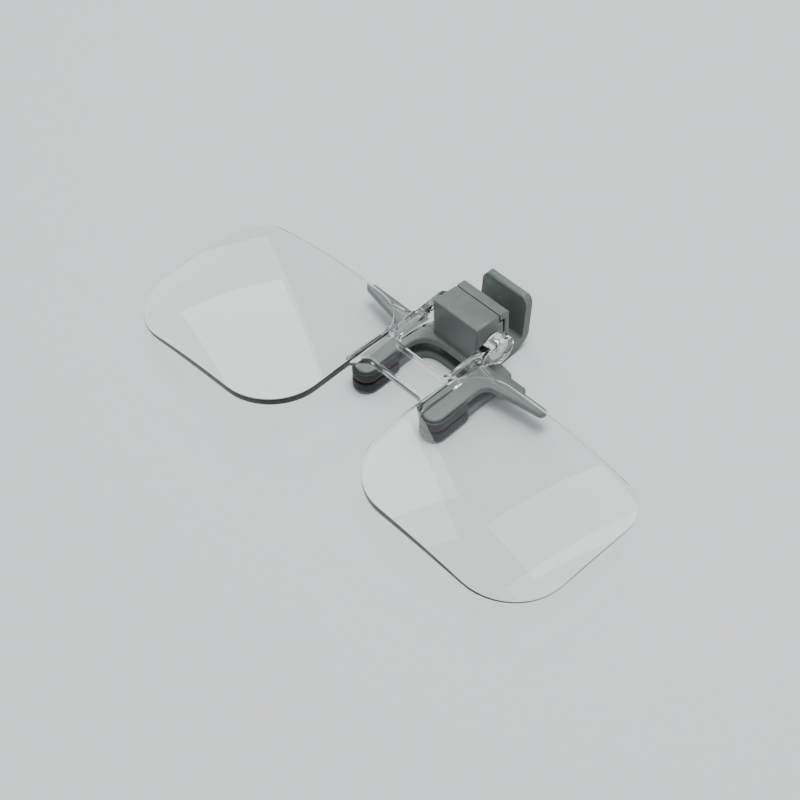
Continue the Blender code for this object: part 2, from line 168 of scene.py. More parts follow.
class Graph:
    """The node graph of one material."""

    def __init__(self, name: str) -> None:
        """Start a material of this name with only its output node."""
        self.material = bpy.data.materials.new(name)
        self.material.use_nodes = True
        self.tree = self.material.node_tree
        self.tree.nodes.clear()
        self.output = self.tree.nodes.new("ShaderNodeOutputMaterial")

    def node(self, kind: str, settings: Optional[dict] = None,
             inputs: Optional[dict] = None) -> bpy.types.Node:
        """Add a node.

        Args:
            kind: the node's type.
            settings: its properties.
            inputs: a value or a link for each of its sockets, by name or number.

        Returns:
            The node.
        """
        made = self.tree.nodes.new(kind)
        for key, value in (settings or {}).items():
            setattr(made, key, value)
        for key, value in (inputs or {}).items():
            socket = made.inputs[key]
            if isinstance(value, Value):
                self.tree.links.new(value.socket, socket)
            elif isinstance(value, Socket):
                self.tree.links.new(value, socket)
            else:
                socket.default_value = value
        return made

    def place(self) -> Socket:
        """The point on the piece, in its own coordinates."""
        return self.node("ShaderNodeTexCoord").outputs["Object"]

    def stretched(self, scale: tuple[float, float, float]) -> Socket:
        """The point on the piece, scaled along each axis."""
        made = self.node("ShaderNodeMapping", None, {"Vector": self.place(), "Scale": scale})
        return made.outputs["Vector"]

    def noise(self, size: float, detail: float = 3.0, rough: float = 0.5,
              where: Optional[Socket] = None) -> Value:
        """Cloudy noise.

        Args:
            size: the size of its blotches, in metres.
            detail: how many finer layers it has.
            rough: how strong those are.
            where: the point that it is read at, or the place on the piece.

        Returns:
            The noise, around 0.5.
        """
        made = self.node("ShaderNodeTexNoise", None,
                         {"Vector": where or self.place(), "Scale": 1 / size, "Detail": detail,
                          "Roughness": rough})
        return Value(self, made.outputs["Fac"])

    def edge_wear(self, low: float, high: float) -> Value:
        """1 on sharp outer edges and 0 on flat stretches."""
        geometry = self.node("ShaderNodeNewGeometry")
        return Value(self, geometry.outputs["Pointiness"]).between(low, high)

    def mix(self, share: Operand, first: Colour, second: Colour) -> Socket:
        """A colour between two others.

        Args:
            share: 0 for the first colour and 1 for the second.
            first: a colour or a link.
            second: a colour or a link.

        Returns:
            The mixed colour.
        """
        made = self.node("ShaderNodeMix", {"data_type": "RGBA"}, {0: share, 6: first, 7: second})
        return made.outputs[2]

    def bump(self, height: Value, strength: float, distance: float) -> Socket:
        """A normal that a height roughens, by a distance in metres."""
        made = self.node("ShaderNodeBump", None,
                         {"Height": height, "Strength": strength, "Distance": distance})
        return made.outputs["Normal"]

    def principled(self, inputs: dict) -> Socket:
        """A Principled shader with these inputs."""
        return self.node("ShaderNodeBsdfPrincipled", None, inputs).outputs["BSDF"]

    def done(self, shader: Socket) -> bpy.types.Material:
        """Send a shader to the output and return the material."""
        self.tree.links.new(shader, self.output.inputs["Surface"])
        return self.material


# ------------------------------ finishes

@dataclass(frozen=True)
class ClearAcrylic:
    """Polished water-clear acrylic, with the faintest smears of handling on it."""

    name: str = "polished_acrylic"
    tint: Colour = (0.985, 0.995, 0.99, 1.0)
    refraction: float = 1.49
    polish: float = 0.008
    smear: float = 0.03
    smear_size: float = 0.011
    shade_passed: float = 0.86

    def material(self) -> bpy.types.Material:
        """The finish as a material."""
        graph = Graph(self.name)
        smears = graph.noise(self.smear_size, 4.0, 0.6, graph.stretched((1.0, 1.7, 1.0))).between(0.5, 0.78)
        glass = graph.principled({
            "Base Color": self.tint, "Roughness": self.polish + smears * self.smear,
            "IOR": self.refraction, "Transmission Weight": 1.0})
        through = graph.node("ShaderNodeBsdfTransparent", None, {"Color": (0.96, 0.975, 0.97, 1.0)})
        path = graph.node("ShaderNodeLightPath")
        lighting = Value(graph, path.outputs["Is Shadow Ray"]) + Value(graph, path.outputs["Is Diffuse Ray"])
        mixed = graph.node("ShaderNodeMixShader", None,
                           {0: lighting * self.shade_passed, 1: glass, 2: through.outputs[0]})
        return graph.done(mixed.outputs[0])


@dataclass(frozen=True)
class SatinPlastic:
    """Injection-moulded plastic with a fine spark-eroded grain and slightly rubbed edges."""

    name: str = "satin_grey_green"
    colour: Colour = (0.108, 0.130, 0.120, 1.0)
    dull: Colour = (0.084, 0.102, 0.094, 1.0)
    rubbed: Colour = (0.205, 0.230, 0.216, 1.0)
    roughness: float = 0.36
    grain_size: float = 0.00016
    grain_depth: float = 0.000012

    def material(self) -> bpy.types.Material:
        """The finish as a material."""
        graph = Graph(self.name)
        clouds = graph.noise(0.006, 4.0, 0.55)
        flow = graph.noise(0.0022, 3.0, 0.5, graph.stretched((1.0, 0.35, 1.0)))
        grain = graph.noise(self.grain_size, 2.0, 0.6)
        wear = graph.edge_wear(0.515, 0.6) * graph.noise(0.0018, 3.0).between(0.28, 0.7)
        base = graph.mix((clouds * 0.65 + flow * 0.35).between(0.36, 0.66), self.dull, self.colour)
        colour = graph.mix(wear * 0.55, base, self.rubbed)
        roughness = self.roughness + clouds.between(0.3, 0.7) * 0.10 + grain * 0.06 - wear * 0.08
        normal = graph.bump(grain + flow * 0.4, 0.55, self.grain_depth)
        return graph.done(graph.principled({
            "Base Color": colour, "Roughness": roughness, "IOR": 1.5, "Normal": normal}))


@dataclass(frozen=True)
class SoftRubber:
    """Matt black rubber, with a little dust and a pebbled skin."""

    name: str = "soft_rubber"
    colour: Colour = (0.014, 0.014, 0.015, 1.0)
    dusty: Colour = (0.040, 0.039, 0.037, 1.0)
    skin_size: float = 0.00022
    skin_depth: float = 0.00002

    def material(self) -> bpy.types.Material:
        """The finish as a material."""
        graph = Graph(self.name)
        dust = graph.noise(0.0015, 4.0, 0.65).between(0.48, 0.8) + graph.edge_wear(0.52, 0.62) * 0.35
        skin = graph.noise(self.skin_size, 2.0, 0.7)
        return graph.done(graph.principled({
            "Base Color": graph.mix(dust * 0.6, self.colour, self.dusty),
            "Roughness": 0.52 + dust * 0.2, "IOR": 1.38,
            "Normal": graph.bump(skin, 0.7, self.skin_depth)}))


@dataclass(frozen=True)
class DrawnSteel:
    """Bright steel wire, rod and strip, with draw lines along X and a trace of oil."""

    name: str = "drawn_steel"
    bright: Colour = (0.66, 0.66, 0.64, 1.0)
    dark: Colour = (0.40, 0.39, 0.37, 1.0)
    roughness: float = 0.2

    def material(self) -> bpy.types.Material:
        """The finish as a material."""
        graph = Graph(self.name)
        lines = graph.noise(0.00018, 3.0, 0.6, graph.stretched((0.04, 1.0, 1.0)))
        stains = graph.noise(0.0016, 4.0, 0.6).between(0.5, 0.8)
        return graph.done(graph.principled({
            "Base Color": graph.mix(stains * 0.7, self.bright, self.dark), "Metallic": 1.0,
            "Roughness": self.roughness + lines * 0.16 + stains * 0.12,
            "Normal": graph.bump(lines, 0.35, 0.000008)}))


@dataclass(frozen=True)
class WaxyNylon:
    """Natural nylon: off-white, slightly waxy and a little yellowed in patches."""

    name: str = "waxy_nylon"
    colour: Colour = (0.74, 0.73, 0.68, 1.0)
    yellowed: Colour = (0.62, 0.58, 0.46, 1.0)

    def material(self) -> bpy.types.Material:
        """The finish as a material."""
        graph = Graph(self.name)
        patches = graph.noise(0.0011, 3.0, 0.55).between(0.45, 0.75)
        turned = graph.noise(0.0001, 2.0, 0.5)
        return graph.done(graph.principled({
            "Base Color": graph.mix(patches * 0.5, self.colour, self.yellowed),
            "Roughness": 0.38 + turned * 0.15, "IOR": 1.53,
            "Normal": graph.bump(turned, 0.3, 0.00001)}))


@dataclass(frozen=True)
class StudioFloor:
    """A plain pale table."""

    name: str = "studio_floor"
    colour: Colour = (0.56, 0.57, 0.58, 1.0)

    def material(self) -> bpy.types.Material:
        """The finish as a material."""
        graph = Graph(self.name)
        mottle = graph.noise(0.05, 2.0, 0.5)
        return graph.done(graph.principled({
            "Base Color": self.colour, "Roughness": 0.62 + mottle * 0.1, "IOR": 1.35}))


class Finish(Enum):
    """The finishes, and the record's material slot that each stands for."""

    ACRYLIC = (ClearAcrylic(), "clear_acrylic")
    PLASTIC = (SatinPlastic(), "grey_plastic")
    RUBBER = (SoftRubber(), "black_rubber")
    STEEL = (DrawnSteel(), "steel")
    NYLON = (WaxyNylon(), "white_nylon")
    FLOOR = (StudioFloor(), "")

    def material(self) -> bpy.types.Material:
        """The material of this finish, made on first use."""
        style = self.value[0]
        return bpy.data.materials.get(style.name) or style.material()

    @property
    def slot(self) -> str:
        """The record's material slot."""
        return self.value[1]


# ------------------------------ the workbench

class Axis(Enum):
    """The way that a plate is thick; its outline is drawn along the other two axes."""

    X = (1, 2, 0)
    Y = (0, 2, 1)
    Z = (0, 1, 2)

    def point(self, a: float, b: float, along: float) -> Vector:
        """The point at (a, b) on the outline and this far along the thickness."""
        first, second, third = self.value
        place = Vector()
        place[first], place[second], place[third] = a, b, along
        return place


class Cut(Enum):
    """How one solid changes another."""

    JOIN = "UNION"
    TAKE_AWAY = "DIFFERENCE"
    KEEP_COMMON = "INTERSECT"


def rounded(corners: Sequence[Corner], steps: int = 8) -> list[Point]:
    """The outline through some corners, each radius drawn as an arc.

    Args:
        corners: (a, b, radius) of each corner, in order.
        steps: how many lengths an arc has.

    Returns:
        The points of the outline.
    """
    outline: list[Point] = []
    for index, (a, b, radius) in enumerate(corners):
        corner = Vector((a, b))
        if not radius:
            outline.append((a, b))
            continue
        before = (Vector(corners[index - 1][:2]) - corner).normalized()
        after = (Vector(corners[(index + 1) % len(corners)][:2]) - corner).normalized()
        half = before.angle(after) / 2
        centre = corner + (before + after).normalized() * radius / math.sin(half)
        first = corner + before * radius / math.tan(half) - centre
        last = corner + after * radius / math.tan(half) - centre
        start = math.atan2(first.y, first.x)
        sweep = (math.atan2(last.y, last.x) - start + math.pi) % math.tau - math.pi
        for step in range(steps + 1):
            angle = start + sweep * step / steps
            outline.append((centre.x + radius * math.cos(angle), centre.y + radius * math.sin(angle)))
    return outline


def arc(centre: Point, radius: float, start: float, end: float, steps: int) -> list[Point]:
    """The points of an arc.

    Args:
        centre: what it goes round.
        radius: its radius.
        start: the angle where it begins, in degrees.
        end: the angle where it ends, in degrees.
        steps: how many lengths it has.

    Returns:
        The points, in order.
    """
    angles = [math.radians(start + (end - start) * step / steps) for step in range(steps + 1)]
    return [(centre[0] + radius * math.cos(angle), centre[1] + radius * math.sin(angle))
            for angle in angles]


def both_sides(right: Sequence[Corner]) -> list[Corner]:
    """The corners of a right half, followed by the same corners mirrored on the left."""
    return list(right) + [(-a, b, radius) for a, b, radius in reversed(right)]


class Bench:
    """Modelling steps, each an operator used on one piece."""

    @staticmethod
    def take(piece: Piece) -> None:
        """Make this piece the only selected and active one, in object mode."""
        if bpy.context.object and bpy.context.object.mode != "OBJECT":
            bpy.ops.object.mode_set(mode="OBJECT")
        bpy.ops.object.select_all(action="DESELECT")
        piece.select_set(True)
        bpy.context.view_layer.objects.active = piece

    @staticmethod
    def clear() -> None:
        """Deselect everything before a new primitive."""
        bpy.ops.object.select_all(action="DESELECT")

    @classmethod
    def edit(cls, piece: Piece, kind: str, test: Callable[[object], bool]) -> None:
        """Open a piece in edit mode with only some of its parts selected.

        Args:
            piece: the piece.
            kind: VERT, EDGE or FACE.
            test: tells whether a part is selected.
        """
        cls.take(piece)
        bpy.ops.object.mode_set(mode="EDIT")
        bpy.ops.mesh.select_mode(type=kind)
        bpy.ops.mesh.select_all(action="DESELECT")
        mesh = bmesh.from_edit_mesh(piece.data)
        parts = {"VERT": mesh.verts, "EDGE": mesh.edges, "FACE": mesh.faces}[kind]
        for part in filter(test, parts):
            part.select_set(True)
        mesh.select_flush_mode()
        bmesh.update_edit_mesh(piece.data)

    @staticmethod
    def close() -> None:
        """Leave edit mode."""
        bpy.ops.object.mode_set(mode="OBJECT")

    @classmethod
    def plate(cls, name: str, outline: Sequence[Point], low: float, high: float, axis: Axis) -> Piece:
        """A plate with this outline: a ring of points, laid out, filled and extruded.

        Args:
            name: the piece's name.
            outline: its points, in order.
            low: where its thickness begins.
            high: where its thickness ends.
            axis: the way that it is thick.

        Returns:
            The plate.
        """
        cls.clear()
        bpy.ops.mesh.primitive_circle_add(vertices=len(outline), radius=1, fill_type="NGON")
        piece = bpy.context.object
        piece.name = name
        for vertex, (a, b) in zip(piece.data.vertices, outline):
            vertex.co = axis.point(a, b, low)
        cls.edit(piece, "FACE", lambda face: True)
        travel = axis.point(0, 0, high - low)
        bpy.ops.mesh.extrude_region_move(TRANSFORM_OT_translate={"value": travel})
        bpy.ops.mesh.select_all(action="SELECT")
        bpy.ops.mesh.normals_make_consistent(inside=False)
        cls.close()
        return piece

    @classmethod
    def block(cls, name: str, low: Sequence[float], high: Sequence[float]) -> Piece:
        """A square-edged block between its lowest and highest corner."""
        (x_low, a, b), (x_high, c, d) = low, high
        return cls.plate(name, [(a, b), (c, b), (c, d), (a, d)], x_low, x_high, Axis.X)

    @classmethod
    def rod(cls, name: str, centre: Point, radius: float, low: float, high: float,
            sides: int = 48, chamfer: float = 0.0) -> Piece:
        """A round rod along X, with its two ends chamfered.

        Args:
            name: the piece's name.
            centre: the (y, z) of its axis.
            radius: its radius.
            low: the x where it begins.
            high: the x where it ends.
            sides: how many sides stand for the round.
            chamfer: the width of the bevel on its ends.

        Returns:
            The rod.
        """
        cls.clear()
        bpy.ops.mesh.primitive_cylinder_add(
            vertices=sides, radius=radius, depth=high - low,
            location=((low + high) / 2, centre[0], centre[1]), rotation=(0, math.pi / 2, 0))
        piece = bpy.context.object
        piece.name = name
        bpy.ops.object.transform_apply(location=True, rotation=True, scale=True)
        if chamfer:
            cls.edit(piece, "EDGE", lambda edge: abs(edge.verts[0].co.x - edge.verts[1].co.x) < chamfer / 10)
            bpy.ops.mesh.bevel(offset=chamfer, segments=3)
            cls.close()
        return piece

    @classmethod
    def use(cls, piece: Piece, kind: str, **settings: object) -> None:
        """Add a modifier with these settings and apply it."""
        cls.take(piece)
        modifier = piece.modifiers.new(kind.lower(), kind)
        for key, value in settings.items():
            setattr(modifier, key, value)
        bpy.ops.object.modifier_apply(modifier=modifier.name)

    @classmethod
    def soften(cls, piece: Piece, width: float, segments: int = 4, angle: float = 40) -> None:
        """Round off every edge sharper than an angle in degrees."""
        cls.use(piece, "BEVEL", width=width, segments=segments, limit_method="ANGLE",
                angle_limit=math.radians(angle), use_clamp_overlap=True)

    @classmethod
    def cut(cls, piece: Piece, other: Piece, how: Cut) -> None:
        """Join, take away or keep what is common with another solid, which is used up."""
        cls.use(piece, "BOOLEAN", object=other, operation=how.value, solver="EXACT")
        bpy.data.objects.remove(other, do_unlink=True)

    @classmethod
    def twin(cls, piece: Piece) -> Piece:
        """A mirrored copy of a piece on the other side of the nose, with its own mesh."""
        cls.take(piece)
        bpy.ops.object.duplicate(linked=False)
        copy = bpy.context.object
        bpy.ops.transform.resize(value=(-1, 1, 1), center_override=(0, 0, 0))
        bpy.ops.object.transform_apply(location=True, rotation=True, scale=True)
        cls.edit(copy, "FACE", lambda face: True)
        bpy.ops.mesh.normals_make_consistent(inside=False)
        cls.close()
        return copy

    @classmethod
    def join_pair(cls, piece: Piece, right: Piece) -> None:
        """Join a right-hand solid and its mirrored twin to a piece."""
        left = cls.twin(right)
        cls.cut(piece, right, Cut.JOIN)
        cls.cut(piece, left, Cut.JOIN)

    @classmethod
    def blend_over(cls, piece: Piece, cell: float, passes: int) -> None:
        """Fill the inner corners of a joined solid and round it: a voxel remesh, then smoothing."""
        cls.use(piece, "REMESH", mode="VOXEL", voxel_size=cell, adaptivity=0.0)
        cls.use(piece, "SMOOTH", factor=0.5, iterations=passes)

    @classmethod
    def tidy(cls, piece: Piece, merge: float = 0.002) -> None:
        """Merge doubled points, drop slivers and turn the faces outwards."""
        cls.edit(piece, "FACE", lambda face: True)
        bpy.ops.mesh.remove_doubles(threshold=merge)
        bpy.ops.mesh.dissolve_degenerate(threshold=merge / 4)
        bpy.ops.mesh.select_all(action="SELECT")
        bpy.ops.mesh.normals_make_consistent(inside=False)
        cls.close()

    @classmethod
    def shade(cls, piece: Piece, angle: float = 32) -> None:
        """Shade smooth, but for edges sharper than an angle in degrees."""
        cls.take(piece)
        bpy.ops.object.shade_smooth_by_angle(angle=math.radians(angle))


# ------------------------------ where things go

class Layout:
    """The frame's own places, in millimetres from the lens datum."""

    FLIP_FROM_DATUM = Vector((0, 26.0, -3.3))

    def __init__(self, packed: dict) -> None:
        """Work out the datum and the (y, z) of the two hinges' axes.
        """
        places = {joint["name"]: Vector(joint["pos_m"]) for joint in packed["joints"]}
        self.datum = places["flip_hinge"] - self.FLIP_FROM_DATUM * MM
        self.flip_axis = tuple(self.from_datum(places["flip_hinge"]).yz)
        self.lever_axis = tuple(self.from_datum(places["lever_hinge"]).yz)

    def from_datum(self, place: Vector) -> Vector:
        """A place in the frame, in millimetres from the lens datum."""
        return (place - self.datum) / MM

    def box(self, node: str) -> tuple[Vector, Vector]:
        """The lowest and highest corner of a CAD node, in millimetres from the datum."""
        low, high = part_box(node)
        return self.from_datum(low), self.from_datum(high)

    def settle(self, piece: Piece) -> None:
        """Bring a piece from millimetres at the datum to its place in the frame, and apply that."""
        Bench.take(piece)
        piece.scale = (MM, MM, MM)
        piece.location = self.datum
        bpy.ops.object.transform_apply(location=True, rotation=True, scale=True)


class SubAssembly:
    """Pieces that are made together and ride on one body."""

    body = ""

    def __init__(self, layout: Layout) -> None:
        """Keep the layout that the pieces are placed by."""
        self.layout = layout

    def finish(self, piece: Piece, finish: Finish, *nodes: str, angle: float = 32) -> None:
        """Shade, settle and dress a piece, put it on its body and hide the CAD nodes that it stands for.

        Args:
            piece: the modelled piece.
            finish: its finish.
            nodes: the CAD nodes that it stands for.
            angle: the sharpest angle that is shaded smooth, in degrees.
        """
        Bench.shade(piece, angle)
        self.layout.settle(piece)
        piece.data.materials.clear()
        piece.data.materials.append(finish.material())
        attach(piece, self.body)
        if nodes:
            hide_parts(*nodes)
        LOG.info("%s: %d faces, on %s, for %s", piece.name, len(piece.data.polygons), self.body,
                 ", ".join(nodes) or "no node")


# ------------------------------ the lenses

@dataclass
class LensPair(SubAssembly):
    """The clear moulding: two meniscus lenses, the bridge plate between them and the two hinge arms."""

    layout: Layout
    body: str = "lens_flip"
    centre_x: float = 31.4
    half: Point = (22.4, 18.7)
    bulge: Point = (0.023, 0.020)
    radii: tuple[float, float, float, float] = (6.6, 8.0, 11.6, 12.2)
    apex: tuple[float, float, float] = (22.0, 0.0, 1.1)
    apex_thickness: float = 2.2
    front_radius: float = 106.0
    back_radius: float = 150.0
    rings: int = 12
    rim_radius: float = 0.24
    bridge_y: Point = (5.3, 12.5)
    bridge_z: Point = (-3.1, -1.25)
    bridge_flare: float = 2.2
    arm_x: Point = (6.6, 9.1)
    arm_root_y: float = 11.0
    lug_radius: float = 3.3
    web_z: Point = (-2.1, -0.8)
    socket_reach: float = 7.85
    axle_flat: float = 0.62
    flat_reach: float = 3.4
    chord: float = 1.5

    def outline(self) -> list[Point]:
        """The right lens's outline from above: a rounded rectangle whose sides bulge."""
        half_x, half_y = self.half
        top_outer, top_inner, low_inner, low_outer = self.radii
        points = rounded([(half_x, half_y, top_outer), (-half_x, half_y, top_inner),
                          (-half_x, -half_y, low_inner), (half_x, -half_y, low_outer)], 12)
        dense: list[Point] = []
        for index, (x, y) in enumerate(points):
            next_x, next_y = points[(index + 1) % len(points)]
            length = math.hypot(next_x - x, next_y - y)
            steps = max(1, round(length / self.chord))
            dense += [(x + (next_x - x) * step / steps, y + (next_y - y) * step / steps)
                      for step in range(steps)]
        return [(x * (1 + self.bulge[0] * (1 - (y / half_y) ** 2)),
                 y * (1 + self.bulge[1] * (1 - (x / half_x) ** 2))) for x, y in dense]

    def surface(self, x: float, y: float, back: bool) -> float:
        """The height of a lens's front or back at a place.

        Args:
            x: the place's x, on the right lens.
            y: the place's y.
            back: True for the back.

        Returns:
            The height.
        """
        radius = self.back_radius if back else self.front_radius
        base = self.apex[2] - (self.apex_thickness if back else 0)
        away = (x - self.apex[0]) ** 2 + (y - self.apex[1]) ** 2
        return base - radius + math.sqrt(radius ** 2 - away)

    def lens(self) -> Piece:
        """The right lens: a filled ring, extruded inwards in rings, thickened and bowed."""
        outline = self.outline()
        Bench.clear()
        bpy.ops.mesh.primitive_circle_add(vertices=len(outline), radius=1, fill_type="NOTHING")
        lens = bpy.context.object
        lens.name = "lens_right"
        for vertex, (x, y) in zip(lens.data.vertices, outline):
            vertex.co = (self.centre_x + x, y, 1)
        Bench.edit(lens, "EDGE", lambda edge: True)
        share = 1.0
        for ring in range(1, self.rings):
            wanted = math.cos(math.pi / 2 * ring / self.rings)
            bpy.ops.mesh.extrude_edges_move()
            bpy.ops.transform.resize(value=(wanted / share, wanted / share, 1),
                                     center_override=(self.centre_x, 0, 1))
            share = wanted
        bpy.ops.mesh.extrude_edges_move()
        bpy.ops.mesh.merge(type="CENTER")
        bpy.ops.mesh.select_all(action="SELECT")
        bpy.ops.mesh.extrude_region_move(TRANSFORM_OT_translate={"value": (0, 0, -2)})
        bpy.ops.mesh.select_all(action="SELECT")
        bpy.ops.mesh.normals_make_consistent(inside=False)
        Bench.close()
        for vertex in lens.data.vertices:
            x, y, side = vertex.co
            vertex.co.z = self.surface(x, y, side < 0)
        Bench.use(lens, "BEVEL", width=self.rim_radius, segments=3, limit_method="ANGLE",
                  angle_limit=math.radians(50))
        return lens

    def plate_outline(self) -> list[Point]:
        """The bridge plate from above, flared where it runs into the lenses' inner sides."""
        low, high = self.bridge_y
        flare = self.bridge_flare
        inner = self.centre_x - self.half[0] * (1 + self.bulge[0])
        half = inner + 1.6
        beside_arm = self.arm_x[0] + 0.1
        return rounded(both_sides([
            (inner - 0.1, low, flare), (inner - 0.1, low - flare - 0.1, 0), (half, low - flare - 1.2, 0),
            (half, high + 1.3, 0), (beside_arm, high + 1.3, 0), (beside_arm, high, 1.0)]))

    def arm_outline(self) -> list[Point]:
        """A hinge arm from the side: out of the bridge plate, along, and round the lug."""
        lug = [(y, z, 0.0) for y, z in arc(self.layout.flip_axis, self.lug_radius, 90, -120, 30)]
        foot_low, foot_high = self.bridge_z[0] + 0.4, self.bridge_z[1] - 0.3
        root = self.arm_root_y
        return rounded(lug + [(23.0, -5.1, 1.2), (19.4, -3.75, 4.0), (root, foot_low, 0),
                              (root, foot_high, 0), (root + 3.5, foot_high + 0.75, 5.0)])

    def web_outline(self) -> list[Point]:
        """The web between an arm and the top of its lens, from above."""
        outer = self.arm_x[1]
        return rounded([(outer - 1.2, 11.8, 0), (10.6, 13.2, 0), (13.0, 16.2, 0), (15.8, 18.3, 0),
                        (12.4, 18.9, 4.0), (outer, 19.1, 2.2), (outer, 22.4, 0), (outer - 1.2, 22.4, 0)])

    def yoke(self) -> Piece:
        """The bridge plate, arms and webs, run into each other with soft inner corners."""
        yoke = Bench.plate("clear_lens_moulding", self.plate_outline(), *self.bridge_z, Axis.Z)
        Bench.soften(yoke, 0.4, 3)
        for name, outline, span, axis, round_off in (
                ("web", self.web_outline(), self.web_z, Axis.Z, 0.25),
                ("arm", self.arm_outline(), self.arm_x, Axis.X, 0.75)):
            right = Bench.plate(name, outline, *span, axis)
            Bench.soften(right, round_off, 4, 50)
            Bench.join_pair(yoke, right)
        Bench.blend_over(yoke, 0.2, 8)
        return yoke

    def build(self) -> None:
        """Make the moulding and dress it."""
        moulding = self.yoke()
        Bench.join_pair(moulding, self.lens())
        sockets = Bench.rod("sockets", self.layout.flip_axis, AXLE_BORE,
                            -self.socket_reach, self.socket_reach)
        Bench.cut(moulding, sockets, Cut.TAKE_AWAY)
        Bench.tidy(moulding)
        self.finish(moulding, Finish.ACRYLIC, "twin_lens")
        self.build_axle()

    def build_axle(self) -> None:
        """The turned steel axle, squared where the click leaf bears on it."""
        low, high = self.layout.box("flip_axle")
        axis = self.layout.flip_axis
        radius = (high.z - low.z) / 2
        axle = Bench.rod("hinge_axle", axis, radius, low.x, high.x, 48, 0.15)
        flat, reach = self.axle_flat, self.flat_reach
        square = Bench.block("square", (-reach, axis[0] - flat, axis[1] - flat),
                             (reach, axis[0] + flat, axis[1] + flat))
        sleeve = Bench.rod("sleeve", axis, radius * 2, -reach, reach)
        Bench.cut(sleeve, square, Cut.TAKE_AWAY)
        Bench.cut(axle, sleeve, Cut.TAKE_AWAY)
        self.finish(axle, Finish.STEEL, "flip_axle")


# ------------------------------ the clip

@dataclass
class JawShape:
    """The fork that both jaws share: two prongs around the nose arch, in plan."""

    arch_half: float = 7.2
    arch_top: float = 20.8
    arch_radius: float = 4.2
    prong_half: float = 2.2
    tip_y: float = 4.6
    thickness: float = 1.8
    edge: float = 0.42

    @property
    def outer(self) -> float:
        """The x of a prong's outer side."""
        return self.arch_half + 2 * self.prong_half

    @property
    def middle(self) -> float:
        """The x of a prong's middle."""
        return self.arch_half + self.prong_half

    def prong(self) -> list[Corner]:
        """The right half's corners from the arch to the outer side of the prong's tip."""
        tip = self.prong_half - 0.05
        return [(self.arch_half, self.arch_top, self.arch_radius), (self.arch_half, self.tip_y, tip),
                (self.outer, self.tip_y, tip)]

    def prong_outline(self, side: int, grow: float, length: float) -> list[Point]:
        """The outline of one prong's tip, grown outwards, with its open end up the prong.

        Args:
            side: 1 on the right, -1 on the left.
            grow: how far it stands out from the prong.
            length: how far it reaches up the prong from the tip.

        Returns:
            The points of the outline.
        """
        radius = self.prong_half + grow - 0.05
        inner, outer = self.arch_half - grow, self.outer + grow
        tip, end = self.tip_y - grow, self.tip_y + length
        corners = [(inner, end, 0), (inner, tip, radius), (outer, tip, radius), (outer, end, 0)]
        return rounded([(side * a, b, r) for a, b, r in corners], 12)


@dataclass
class Shoes:
    """The four rubber shoes on the prongs."""

    jaw: JawShape
    thickness: float = 0.85
    lip: float = 0.6
    lip_height: float = 1.2
    length: float = 8.5
    gap: float = 0.06
    edge: float = 0.22
    groove_radius: float = 0.2
    groove_half: float = 1.7
    groove_first: float = 1.6
    groove_pitch: float = 2.1

    def build(self, owner: SubAssembly, word: str, jaw_low: float, facing: int) -> None:
        """Make the two shoes of one jaw.

        Args:
            owner: the sub-assembly that they are part of.
            word: front or rear, as in the CAD nodes' names.
            jaw_low: the bottom of the jaw.
            facing: -1 if the jaw grips below, 1 if it grips above.
        """
        face = jaw_low if facing < 0 else jaw_low + self.jaw.thickness
        floor = face + facing * self.gap
        sole = floor + facing * self.thickness
        lip = floor - facing * self.lip_height
        for side, hand in ((-1, "left"), (1, "right")):
            outline = self.jaw.prong_outline(side, self.gap + self.lip, self.length)
            shoe = Bench.plate(f"{word}_rubber_shoe_{hand}", outline, min(sole, lip), max(sole, lip), Axis.Z)
            pocket_outline = self.jaw.prong_outline(side, self.gap, self.length + 2)
            past = lip - facing * 2
            pocket = Bench.plate("pocket", pocket_outline, min(floor, past), max(floor, past), Axis.Z)
            Bench.cut(shoe, pocket, Cut.TAKE_AWAY)
            Bench.soften(shoe, self.edge, 3, 50)
            for row in range(3):
                y = self.jaw.tip_y + self.groove_first + self.groove_pitch * row
                middle = side * self.jaw.middle
                groove = Bench.rod("groove", (y, sole), self.groove_radius,
                                   middle - self.groove_half, middle + self.groove_half, 16)
                Bench.cut(shoe, groove, Cut.TAKE_AWAY)
            owner.finish(shoe, Finish.RUBBER, f"{word}_pad_{hand}")


